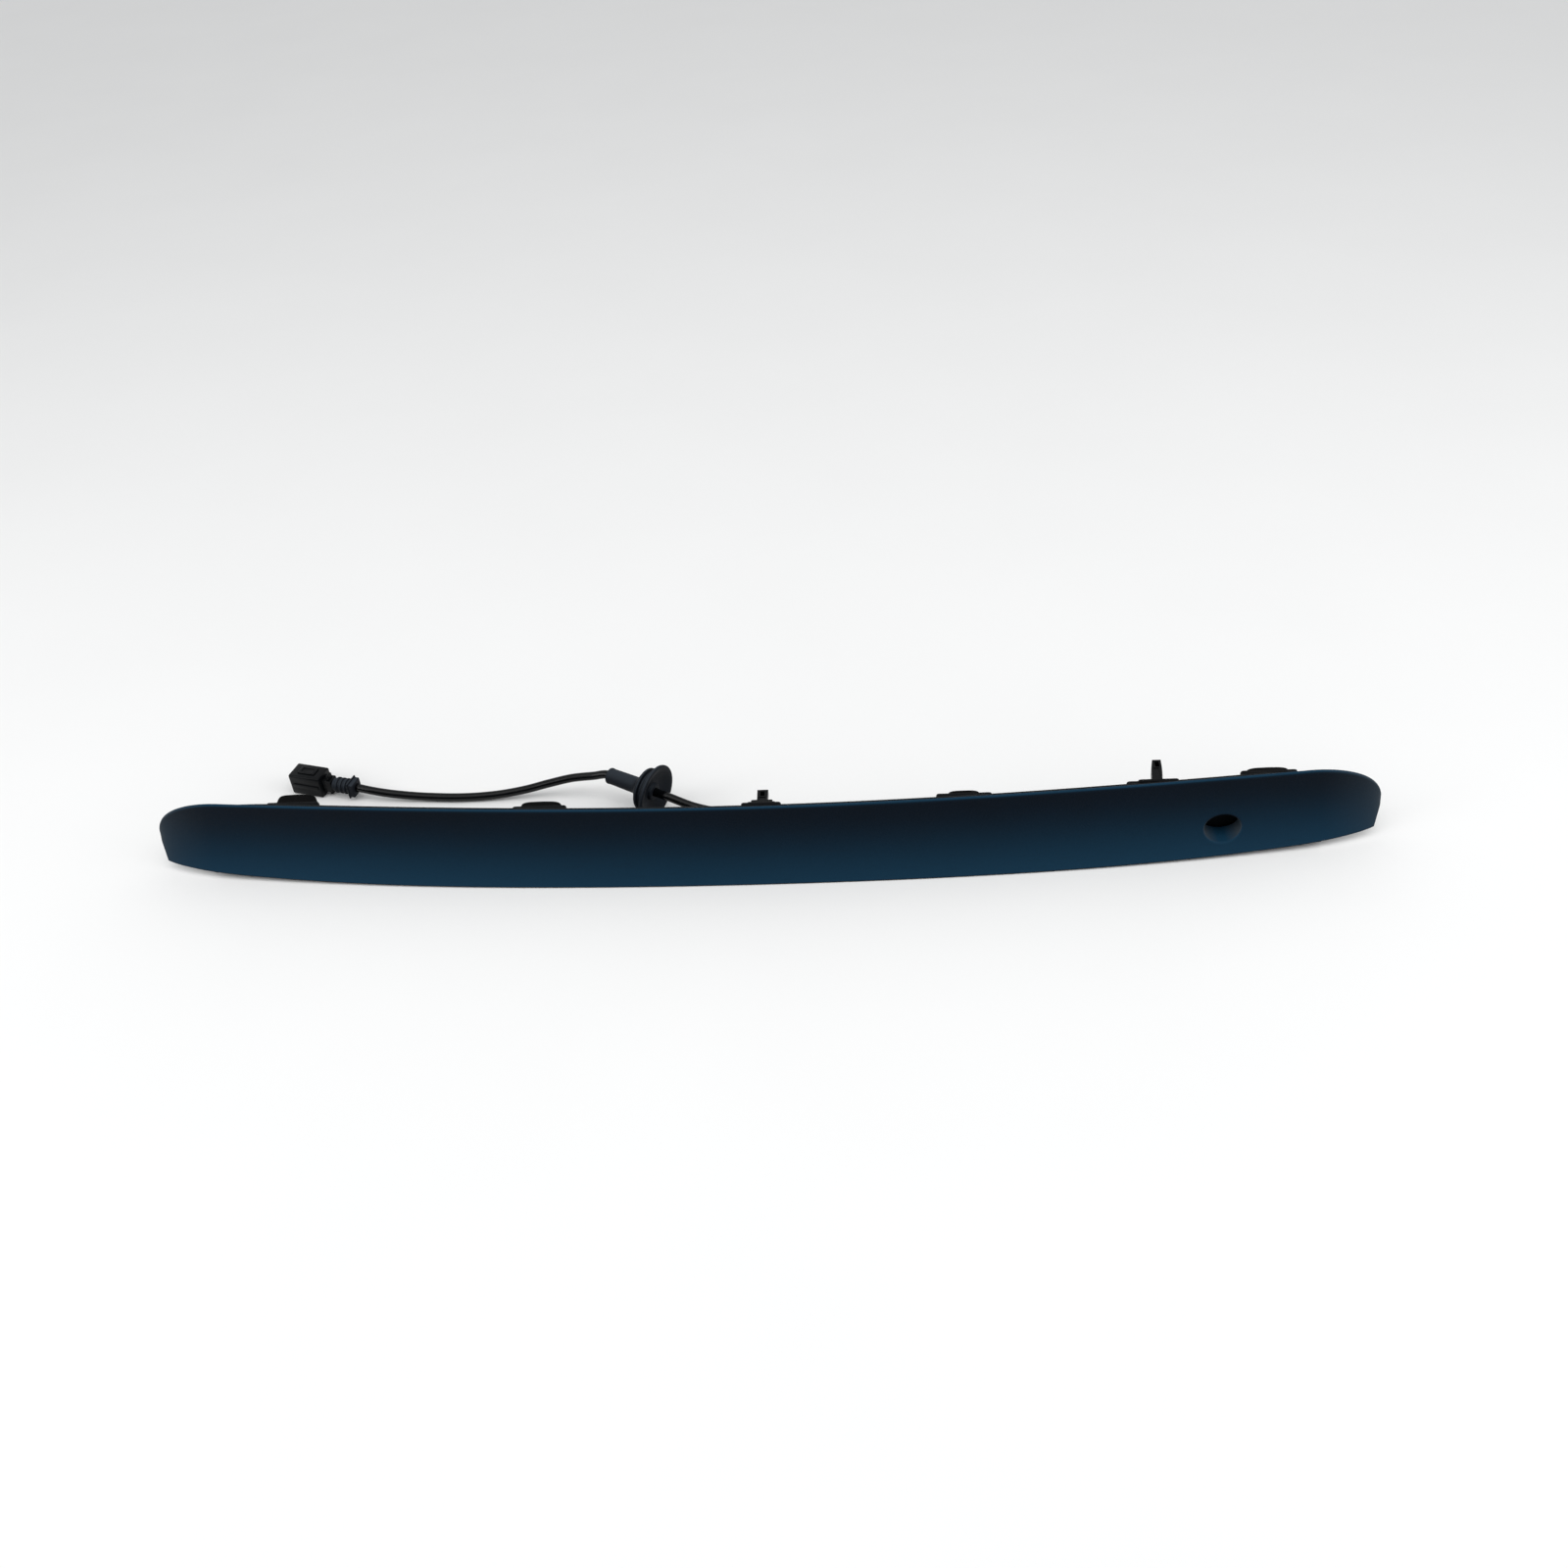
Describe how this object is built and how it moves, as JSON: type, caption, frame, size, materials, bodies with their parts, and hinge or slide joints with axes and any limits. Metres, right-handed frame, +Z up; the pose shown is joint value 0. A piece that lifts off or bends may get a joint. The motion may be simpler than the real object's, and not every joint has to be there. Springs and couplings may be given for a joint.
{
  "type": "third brake light",
  "caption": "Long bowed tailgate bar with a red lamp strip in its underside, an oval nozzle hole, bolt bosses behind, and a lead with a grommet and a plug.",
  "frame": {"origin": "on the surface that the bar stands on, below the middle of the bar's own box (the lead and what is on it left out)", "axes": "+X along the bar, +Y from the visible face back towards the body it is bolted to, +Z up as it stands on its lip"},
  "size_m": [0.7492, 0.1155, 0.05],
  "materials": {
    "cover_plastic": "fine moulded grain, blue-black",
    "carrier_plastic": "smooth black",
    "clip_plastic": "satin black",
    "foam": "closed-cell foam",
    "rubber": "soft matt rubber",
    "lens_red": "clear red, fluted inside",
    "reflector_white": "bright white optic plastic",
    "board_green": "green solder mask",
    "led_body": "clear dome on a white body",
    "chip_black": "moulded electronic package",
    "steel": "zinc plated",
    "brass": "plain",
    "cable_sheath": "glossy black sheath",
    "wire_red": "insulation",
    "wire_brown": "insulation"
  },
  "bodies": {
    "bar": {"outer_cover": "cover_plastic", "carrier": "carrier_plastic", "lens": "lens_red", "lens_gasket": "rubber", "cable_gland": "rubber", "grommet": "rubber", "plug_boot": "rubber", "reflector": "reflector_white", "circuit_board": "board_green", "led_1": "led_body", "led_2": "led_body", "led_3": "led_body", "led_4": "led_body", "led_5": "led_body", "led_6": "led_body", "led_7": "led_body", "led_8": "led_body", "led_9": "led_body", "led_10": "led_body", "led_11": "led_body", "led_12": "led_body", "board_screw_1": "steel", "board_screw_2": "steel", "board_screw_3": "steel", "cover_screw_1": "steel", "cover_screw_2": "steel", "cover_screw_3": "steel", "cover_screw_4": "steel", "cover_screw_5": "steel", "cover_screw_6": "steel", "resistor_1": "chip_black", "resistor_2": "chip_black", "resistor_3": "chip_black", "diode": "chip_black", "board_terminal": "clip_plastic", "locating_clip_centre": "clip_plastic", "locating_clip_right": "clip_plastic", "vent_cap": "clip_plastic", "plug_housing": "clip_plastic", "foam_seal_left_outer": "foam", "thread_insert_left_outer": "brass", "foam_seal_left_inner": "foam", "thread_insert_left_inner": "brass", "foam_seal_right_inner": "foam", "thread_insert_right_inner": "brass", "foam_seal_right_outer": "foam", "thread_insert_right_outer": "brass", "contact_pin_1": "brass", "contact_pin_2": "brass", "cable": "cable_sheath", "core_red": "wire_red", "core_brown": "wire_brown"},
    "lock": {"terminal_lock": "clip_plastic"}
  },
  "joints": [
    {"name": "terminal_lock_slide", "type": "slide", "parent": "bar", "child": "lock", "axis": [0, 0, 1], "range_m": [0, 0.0016]}
  ]
}
